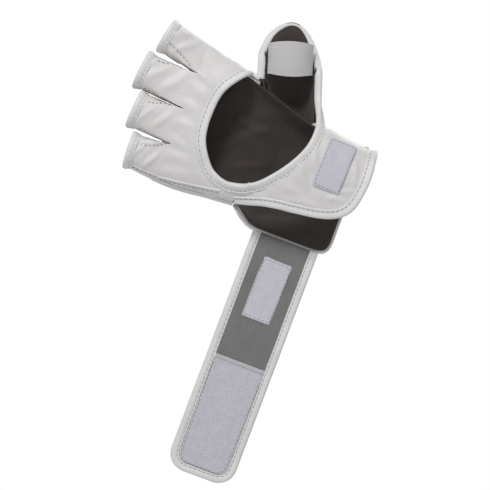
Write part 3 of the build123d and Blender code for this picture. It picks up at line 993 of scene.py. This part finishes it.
def taped(path, normal, under=EDGE_UNDER, wobble=0.06):
    """Folded tape along an edge, with its row of stitches."""
    mesh = Mesh()
    side, n = sweep(mesh, path, normal, TAPE_PROFILE, under=under, wobble=wobble)
    stitches(mesh, path + side * TAPE_STITCH_IN + n * TAPE_STITCH_UP, n, mat=1)
    return mesh


def bound_edge(name, line, on_skin, *nodes, lift=0.0):
    path, normal = on_skin(line)
    obj = taped(path + normal * lift, normal).make(name, [EDGE, THREAD])
    shape(obj, "hand", "binding", *nodes)


def opening_run():
    """From the foot of the guard's left edge, over its arch, down its right edge and under the hole."""
    side = np.linspace(0.1, 1, 30)
    arch = np.linspace(-THUMB_EDGE_TURN, THUMB_EDGE_TURN, 90)
    route = ([(q, -THUMB_EDGE_TURN) for q in side[:-1]] + [(1.0, t) for t in arch]
             + [(q, THUMB_EDGE_TURN) for q in np.linspace(1, 0.52, 22)[1:]])
    share, turn = np.array(route).T
    guard, guard_n = thumb_point(share, turn, 1.2)
    hole = [(-42.6, 37.5)] + HOLE[7:11] + [(-87.0, -20.7)]
    palm, palm_n = palm_top(smooth_path(hole, 1.0))
    gap = np.linspace(0, 1, 12)[1:-1, None]
    bridge = guard[-1] * (1 - gap) + palm[0] * gap
    bridge_n = guard_n[-1] * (1 - gap) + palm_n[0] * gap
    path, n = np.vstack([guard, bridge, palm]), np.vstack([guard_n, bridge_n, palm_n])
    thinning = np.linspace(GUARD_UNDER, EDGE_UNDER, len(bridge))
    deep = np.concatenate([np.full(len(guard), GUARD_UNDER), thinning, np.full(len(palm), EDGE_UNDER)])
    both = smoothed(resample(np.hstack([path, n * 6, deep[:, None]]), 1.3), 22)
    return both[:, :3], unit(both[:, 3:6]), both[:, 6]


def edges():
    path, normal, deep = opening_run()
    obj = taped(path, normal, deep, 0.04).make("thumb_and_palm_binding_roll", [EDGE, THREAD])
    shape(obj, None, "binding", "thumb_guard_binding", "palm_opening_binding")
    bend_thumb(obj)
    left = [(-72.5, -15.6)] + HOLE[10:] + HOLE[:3] + [(-99.5, 56.4), (-92.5, 57.5)]
    line = smooth_path(left, 1.0)
    ease = np.clip(np.arange(len(line)) / 13.0, 0, 1)
    bound_edge("palm_opening_binding_roll", line, palm_top, lift=(1 - ease)[:, None])
    bound_edge("cuff_flap_binding_roll", smooth_path(FLAP_EDGE, 1.0), palm_top, "cuff_flap_binding")
    bound_edge("cuff_back_binding_roll", smooth_path(BACK_EDGE[::-1], 1.0), back_frame, "cuff_back_binding")


SEAM_RIDGE = [(-0.9, -0.2), (-0.5, 0.3), (0.0, 0.42), (0.5, 0.3), (0.9, -0.2)]


def seam(name, points, on_skin, offsets=(-1.7,)):
    """A sunken seam line between two panels, with stitches beside it."""
    mesh = Mesh()
    path, normal = on_skin(smooth_path(points, 1.0))
    sweep(mesh, path, normal, SEAM_RIDGE, under=1.0, wobble=0.1)
    for offset in offsets:
        stitches(mesh, path, normal, lift=0.2, mat=1, offset=offset)
    shape(mesh.make(name, [EDGE, THREAD]), "hand", "binding")


def rounded_box(x_range, z_range, corner, turn=0.0, n=7):
    """Outline of a rounded rectangle in x and z, as a closed polygon."""
    cx, cz = sum(x_range) / 2, sum(z_range) / 2
    hx, hz = (x_range[1] - x_range[0]) / 2 - corner, (z_range[1] - z_range[0]) / 2 - corner
    points = []
    for k, (sx, sz) in enumerate(((1, 1), (-1, 1), (-1, -1), (1, -1))):
        for a in np.radians(np.linspace(90 * k, 90 * k + 90, n)):
            points.append((sx * hx + corner * math.cos(a), sz * hz + corner * math.sin(a)))
    points = np.array(points)
    c, s = math.cos(math.radians(turn)), math.sin(math.radians(turn))
    return points @ np.array([[c, s], [-s, c]]) + (cx, cz)


def sheet_over(mesh, outline, on_skin, height, round_off=0.8, step=1.0, mat=0, uneven=0.0, seed=1):
    """A flat piece lying on a surface, inside an outline, its edges rounded down to the surface."""
    low, high = outline.min(axis=0) - step, outline.max(axis=0) + step
    xs = np.arange(low[0], high[0] + step, step)
    zs = np.arange(low[1], high[1] + step, step)
    gx, gz = lattice(xs, zs)
    flat, faces = sheet_of(np.stack([gx, 0 * gx, gz], -1))
    verts, faces = clip(flat, faces, -signed_distance(flat[:, [0, 2]], outline))
    inside = -signed_distance(verts[:, [0, 2]], outline)
    e = np.clip(inside / round_off, 0, 1)
    path, normal = on_skin(verts[:, [0, 2]])
    lift = height * np.sqrt(np.clip(1 - (1 - e) ** 2, 0, 1)) - 0.15 * (1 - e)
    lift += uneven * e * waves(verts[:, 0], verts[:, 2], 4.0, seed)
    mesh.add(path + normal * lift[:, None], faces, mat)
    return mesh


def border(mesh, outline, on_skin, inset, lift):
    """Stitches round the inside of an outline."""
    centre = outline.mean(axis=0)
    closed = np.vstack([outline, outline[:1]])
    inward = (centre - closed) / np.linalg.norm(centre - closed, axis=1, keepdims=True)
    path, normal = on_skin(resample(closed + inward * inset, 0.8))
    stitches(mesh, path, normal, lift=lift, length=2.1, gap=1.0, radius=0.24, mat=1)


def patches():
    outline = rounded_box((-32.2, -12.0), (-2.4, 34.0), 2.0, turn=-2.0)
    mesh = sheet_over(Mesh(), outline, palm_top, 1.3, uneven=0.05)
    border(mesh, outline, palm_top, 2.0, 1.35)
    shape(mesh.make("cuff_loop_tape", [LOOP, THREAD]), "hand", "tape", "cuff_loop_patch")
    outline = rounded_box((-34.0, -10.0), (10.0, 36.0), 2.0)
    mesh = sheet_over(Mesh(), outline, back_frame, 1.3, uneven=0.1)
    border(mesh, outline, back_frame, 1.8, 1.35)
    shape(mesh.make("back_loop_tape", [LOOP, THREAD]), "hand", "tape", "back_loop_panel")


# ---- thumb guard ------------------------------------------------------------------------------
THUMB_BASE = np.array([-69.0, 2.0, 52.0])
THUMB_LEAN = math.radians(18.0)
THUMB_UP = np.array([-math.sin(THUMB_LEAN), 0, math.cos(THUMB_LEAN)])
THUMB_SIDE = np.array([math.cos(THUMB_LEAN), 0, math.sin(THUMB_LEAN)])
THUMB_BACK = np.array([0, 1.0, 0])
THUMB_TOP = np.array([(-22, 30), (-20, 36), (-16.9, 42.2), (-8, 50), (0, 53), (5.4, 52), (11, 47),
                      (15.1, 41), (20.6, 27), (22, 20)])
THUMB_FOOT = np.array([(-22, 9), (-20.6, 7), (-19, 2), (-17, -7), (-12, -14), (-4, -20), (22, -22)])
THUMB_HALF = 22.0
THUMB_LEVELS = [0, 34, 53]                  # heights over the base at which the next two are given
THUMB_HALF_AT, THUMB_DEEP_AT = [22.4, 22.0, 21.4], [19.0, 18.0, 15.5]
THUMB_EDGE_TURN = 96.0
THUMB_WALL = 6.0
LOOP_FOOT, LOOP_WIDTH, LOOP_HALF, LOOP_BOW = 15.0, 21.0, 15.9, 11.4


def thumb_point(share, turn, inset=0.0):
    """A point of the guard: share 0 at its foot, 1 at its top edge; turn 0 is the thumb's back."""
    share, turn = np.broadcast_arrays(np.asarray(share, float), np.asarray(turn, float))
    s, c = sin_cos(turn)
    across = THUMB_HALF * s
    top = cubic(THUMB_TOP[:, 0], THUMB_TOP[:, 1], across)
    foot = cubic(THUMB_FOOT[:, 0], THUMB_FOOT[:, 1], across)
    along = foot + (top - foot) * share
    half = np.interp(along, THUMB_LEVELS, THUMB_HALF_AT) - inset
    depth = np.interp(along, THUMB_LEVELS, THUMB_DEEP_AT) - inset
    p = (THUMB_BASE + along[..., None] * THUMB_UP + (half * spow(s, 0.93))[..., None] * THUMB_SIDE
         + (depth * spow(c, 0.93))[..., None] * THUMB_BACK)
    n = unit((s / half)[..., None] * THUMB_SIDE + (c / depth)[..., None] * THUMB_BACK)
    return p, n


def bend_thumb(obj):
    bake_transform(obj)


def thumb_guard():
    gu, gt = lattice(np.linspace(0, 1, 44), np.linspace(-THUMB_EDGE_TURN, THUMB_EDGE_TURN, 70))
    outer, n = thumb_point(gu, gt)
    e = np.clip(np.minimum((1 - gu) / 0.12, (THUMB_EDGE_TURN - np.abs(gt)) / 18), 0, 1)
    swell = 1.1 * np.sqrt(1 - (1 - e) ** 2) - 0.8 + 0.18 * waves(outer[..., 0], outer[..., 2], 6.0, 51)
    skirt, _ = thumb_point(gu, gt, 3.2)
    obj = Mesh().sheet(outer + n * swell[..., None]).sheet(skirt).make("thumb_guard_pad", [LEATHER])
    shape(obj, None, "leather", "thumb_guard_cover", "thumb_guard_foam")
    bend_thumb(obj)

    inner, n = thumb_point(gu, gt, THUMB_WALL - 1.6 * (1 - e))
    inner = inner + n * (0.5 * waves(inner[..., 0], inner[..., 2], 4.0, 57) * e)[..., None]
    lining = Mesh().sheet(inner).make("thumb_guard_inside", [LINING_WITH_PAINTED_SHADE, LINING_WITH_PAINTED_SHADE])
    solidify(lining, -LINING_THICK)
    shape(lining, None, "lining", "thumb_guard_lining")
    bend_thumb(lining)


def smoothed(path, passes):
    """Rounds a path's corners, its ends held."""
    path = path.copy()
    for _ in range(passes):
        path[1:-1] = 0.5 * path[1:-1] + 0.25 * (path[:-2] + path[2:])
    return path


def thumb_loop():
    """The elastic band that holds the thumb, from wall to wall of the guard across its open front."""
    gu, gt = lattice(np.linspace(0, 1, 20), np.linspace(84, 276, 48))
    s, c = sin_cos(gt)
    along = LOOP_FOOT + LOOP_WIDTH * gu - 2.4 * (1 - gu) * np.abs(c) ** 2 + 1.2 * gu * c ** 2
    bow = LOOP_BOW + 1.0 * np.sin(gu * np.pi)
    p = (THUMB_BASE + along[..., None] * THUMB_UP + (LOOP_HALF * s)[..., None] * THUMB_SIDE
         + (bow * c)[..., None] * THUMB_BACK)
    ribs = 0.12 * np.sin(gu * 22 * np.pi)[..., None] * np.stack([0 * s, c, 0 * s], -1)
    obj = Mesh().sheet(p + ribs).make("thumb_elastic", [ELASTIC, ELASTIC])
    solidify(obj, ELASTIC_THICK)
    shape(obj, "thumb", "elastic", "thumb_elastic_loop")


# ---- wrist strap ------------------------------------------------------------------------------
STRAP_X = (-59.0, -11.0)
STRAP_END_Z = -221.0
STRAP_CORNER = 13.0
STRAP_MIDDLE_Y = 11.1
STRAP_TOP = -44.0
HOOK_TOP = -135.2
SELVAGE_X, SELVAGE_Z = (-53.6, -16.4), (-138.6, -134.8)
BEYOND = 1e3                                    # further than any part of the strap
FOLD_LEAN = math.radians(8.0)
FOLD_UP = np.array([math.sin(FOLD_LEAN), 0, math.cos(FOLD_LEAN)])
STRAP_RING = [
    (5.7, 1.2), (5.3, 1.8), (4.7, 1.85), (4.2, 1.45), (3.7, 1.9), (2.4, 2.3), (0.9, 2.2), (-0.1, 1.5),
    (-0.4, 0.0), (-0.1, -1.5), (0.9, -2.2), (2.4, -2.35), (3.7, -2.0), (4.2, -1.5), (4.7, -1.9),
    (5.3, -1.8), (5.7, -1.2),
]


def strap_front(line):
    sway = 0.55 * waves(line[:, 0], line[:, 1], 26.0, 71) + 0.2 * waves(line[:, 0], line[:, 1], 9.0, 72)
    return (np.stack([line[:, 0], STRAP_MIDDLE_Y + sway, line[:, 1]], -1),
            np.tile([0.0, -1.0, 0.0], (len(line), 1)))


def strap_back(line):
    path, n = strap_front(line)
    return path, -n


def strap_outline(inset, top):
    """The strap's edge drawn in by inset, as a path down its left side and up its right."""
    left, right, low = STRAP_X[0] + inset, STRAP_X[1] - inset, STRAP_END_Z + inset
    r = STRAP_CORNER - inset
    turn = np.radians(np.linspace(0, 90, 12))
    bottom_left = [(left + r - r * math.cos(a), low + r - r * math.sin(a)) for a in turn]
    bottom_right = [(right - r + r * math.sin(a), low + r - r * math.cos(a)) for a in turn]
    return np.array([(left, top)] + bottom_left + bottom_right + [(right, top)])


def fold_levels():
    """Where the strap folds, measured square to the fold lines, from the joints in the frame."""
    levels = []
    for joint in frame["record"]["behaviour"]["joints"]:
        if joint["name"].startswith("strap"):
            levels.append(float(np.array(joint["pos_m"]) @ FOLD_UP) / MM)
    return levels


def strap_slices(name, mesh, materials, slot, kind):
    """Cuts a piece of the strap into its stretches, split midway between its folds, and bakes each in
    place.
    """
    levels = fold_levels()
    middles = [0.5 * (a + b) for a, b in zip(levels, levels[1:])]
    tops, lows = [BEYOND] + middles, middles + [-BEYOND]
    nodes = set().union(*frame["record"]["behaviour"]["bodies"].values())
    verts = np.vstack(mesh.verts)
    height = verts @ FOLD_UP
    for i, (top, low) in enumerate(zip(tops, lows)):
        piece = Mesh()
        for mat in range(len(materials)):
            part = [f for f, m in zip(mesh.faces, mesh.mats) if m == mat
                    and height[f].max() > low and height[f].min() < top]
            part_verts, part = clip(verts, part, top - height)
            part_verts, part = clip(part_verts, part, part_verts @ FOLD_UP - low)
            piece.add(part_verts, part, mat)
        if not piece.faces:
            continue
        body, parent = "strap_%d" % (i + 1), "strap_%d" % i if i else "hand"
        obj = piece.make("%s_%s" % (body, name), materials)
        replaced = [n for n in [body + "_" + kind] if n in nodes]
        if i == 0 and name == "bound_edge":
            replaced.append("strap_root")
        shape(obj, None, slot, *replaced)
        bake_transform(obj)


def strap():
    field = strap_outline(3.4, STRAP_TOP)
    cloth = sheet_over(Mesh(), field, strap_front, 1.3, round_off=0.1, step=1.5)
    strap_slices("twill", cloth, [TWILL], "twill", "lining")
    outside = sheet_over(Mesh(), field, strap_back, 1.75, round_off=5.0, step=1.5, uneven=0.12, seed=8)
    strap_slices("back_leather", outside, [LEATHER], "leather", "leather")

    edge = Mesh()
    path, normal = strap_front(resample(strap_outline(0.0, STRAP_TOP), 1.1))
    if np.cross(normal, tangents(path))[5, 0] < 0:
        path, normal = path[::-1], normal[::-1]
    side, n = sweep(edge, path, normal, STRAP_RING, under=0, wobble=0.03)
    for lift in (1.62, -1.68):
        stitches(edge, path + side * 4.2, n, lift=lift, mat=1)
    strap_slices("bound_edge", edge, [EDGE, THREAD], "binding", "binding")

    outline = rounded_box((-46.2, -24.2), (-104.3, -58.6), 2.2, turn=-1.5)
    loop = sheet_over(Mesh(), outline, strap_front, 2.15, uneven=0.1, seed=4)
    border(loop, outline, strap_front, 2.2, 2.2)
    strap_slices("loop_cloth", loop, [LOOP, THREAD], "tape", "loop_tape")

    outline = strap_outline(5.2, HOOK_TOP)
    hook = sheet_over(Mesh(), outline, strap_front, 2.1, uneven=0.08, seed=5)
    band = rounded_box(SELVAGE_X, SELVAGE_Z, 0.5)
    sheet_over(hook, band, strap_front, 2.5, round_off=0.6, step=0.8, mat=2)
    border(hook, outline, strap_front, 2.2, 2.15)
    strap_slices("hook_cloth", hook, [HOOK, THREAD, SELVAGE], "tape", "hook_tape")


# ---- the picture ------------------------------------------------------------------------------
FLOOR_AT, FLOOR_RADIUS = (-0.06, 0.0, -0.62), 1.4
LIGHT_TARGET = Vector((-0.07, 0.0, -0.04))
LIGHTS = [    # name, place, size, watts
    ("key", (-0.75, -1.15, 0.95), 0.35, 12.5), ("fill", (0.9, -1.0, 0.1), 1.0, 1.4),
    ("low", (-0.3, -0.9, -0.9), 0.9, 0.5), ("rim", (0.2, 0.9, 0.9), 0.8, 5.0),
]
WORLD_SEEN, WORLD_LIGHT = ((1, 1, 1, 1), 1.0), ((0.97, 0.975, 1.0, 1), 0.34)
CAMERA_AT = (-0.061, -1.286, -0.0566)
CAMERA_ACROSS, CAMERA_UP = Vector((0.936, 0, 0.352)), Vector((-0.352, 0, 0.936))


def stage_and_light():
    bpy.ops.mesh.primitive_circle_add(vertices=96, radius=FLOOR_RADIUS, fill_type="NGON", location=FLOOR_AT)
    floor = bpy.context.object
    floor.name = "floor"
    floor.data.materials.append(Look("floor_white").shade(Base_Color=(0.86, 0.86, 0.86, 1), Roughness=0.9))
    world = bpy.data.worlds.new("studio")
    bpy.context.scene.world = world
    world.use_nodes = True
    nodes, links = world.node_tree.nodes, world.node_tree.links
    seen, lit = nodes["Background"], nodes.new("ShaderNodeBackground")
    seen.inputs[0].default_value, seen.inputs[1].default_value = WORLD_SEEN
    lit.inputs[0].default_value, lit.inputs[1].default_value = WORLD_LIGHT
    path, mix = nodes.new("ShaderNodeLightPath"), nodes.new("ShaderNodeMixShader")
    links.new(path.outputs["Is Camera Ray"], mix.inputs[0])
    links.new(lit.outputs[0], mix.inputs[1])
    links.new(seen.outputs[0], mix.inputs[2])
    links.new(mix.outputs[0], nodes["World Output"].inputs["Surface"])
    for name, place, size, power in LIGHTS:
        data = bpy.data.lights.new(name, "AREA")
        data.shape, data.size, data.energy = "DISK", size, power
        lamp = bpy.data.objects.new(name, data)
        bpy.context.scene.collection.objects.link(lamp)
        lamp.location = place
        lamp.rotation_euler = (LIGHT_TARGET - Vector(place)).to_track_quat("-Z", "Y").to_euler()


def camera():
    data = bpy.data.cameras.new("camera")
    data.lens, data.sensor_width = 135.0, 36.0
    data.clip_start, data.clip_end = 0.05, 20.0
    cam = bpy.data.objects.new("camera", data)
    bpy.context.scene.collection.objects.link(cam)
    turn = Matrix((CAMERA_ACROSS, CAMERA_UP, CAMERA_ACROSS.cross(CAMERA_UP))).transposed()
    cam.matrix_world = Matrix.Translation(CAMERA_AT) @ turn.to_4x4()
    bpy.context.scene.camera = cam


palm_leather()
side_panel()
back_side()
hand_lining()
fingers()
edges()
seam("side_seam", [(-134.0, -33.4), (-118.0, -31.6), (-100.0, -28.9), (-88.0, -26.6)], palm_top)
seam("flap_seam", [(-88.6, -31.4), (-87.9, -26.6), (-86.6, -22.8)], palm_top, offsets=())
patches()
thumb_guard()
thumb_loop()
strap()
stage_and_light()
camera()
bpy.context.scene.view_settings.view_transform = "Standard"
